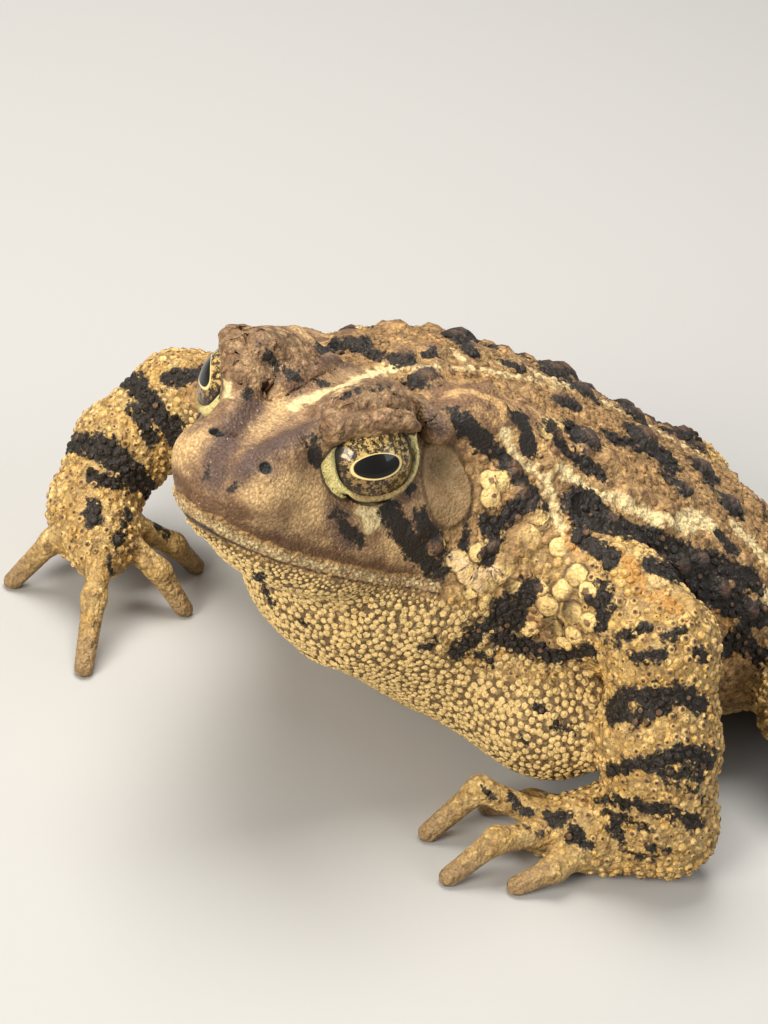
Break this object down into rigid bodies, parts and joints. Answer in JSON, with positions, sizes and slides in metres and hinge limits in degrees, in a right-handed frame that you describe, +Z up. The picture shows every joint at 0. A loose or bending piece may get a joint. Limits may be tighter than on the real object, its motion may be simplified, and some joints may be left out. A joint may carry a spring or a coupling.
{
  "type": "american toad model",
  "caption": "Life-size still model of a sitting toad: broad warty trunk resting on its belly, raised head turned to its left, bowed arms, folded hind legs and spread toes.",
  "frame": {"origin": "on the floor under the middle of the toad's bounding box", "axes": "+Z up; the trunk lies along Y with the head towards -Y and the vent towards +Y; +X is the toad's left side"},
  "size_m": [0.1162, 0.095, 0.0488],
  "materials": {
    "skin": "dry, pebbled and warty, dull with faint moist glints",
    "eye": "wet, clear and glossy over a gold-flecked dark iris"
  },
  "bodies": {
    "root": {"head": "skin", "torso": "skin", "eye_left": "eye", "tympanum_left": "skin", "parotoid_left": "skin", "upper_arm_left": "skin", "forearm_left": "skin", "hand_left": "skin", "finger_1_left": "skin", "finger_2_left": "skin", "finger_3_left": "skin", "finger_4_left": "skin", "thigh_left": "skin", "shank_left": "skin", "foot_left": "skin", "toe_1_left": "skin", "toe_2_left": "skin", "toe_3_left": "skin", "toe_4_left": "skin", "toe_5_left": "skin", "eye_right": "eye", "tympanum_right": "skin", "parotoid_right": "skin", "upper_arm_right": "skin", "forearm_right": "skin", "hand_right": "skin", "finger_1_right": "skin", "finger_2_right": "skin", "finger_3_right": "skin", "finger_4_right": "skin", "thigh_right": "skin", "shank_right": "skin", "foot_right": "skin", "toe_1_right": "skin", "toe_2_right": "skin", "toe_3_right": "skin", "toe_4_right": "skin", "toe_5_right": "skin"}
  },
  "joints": []
}
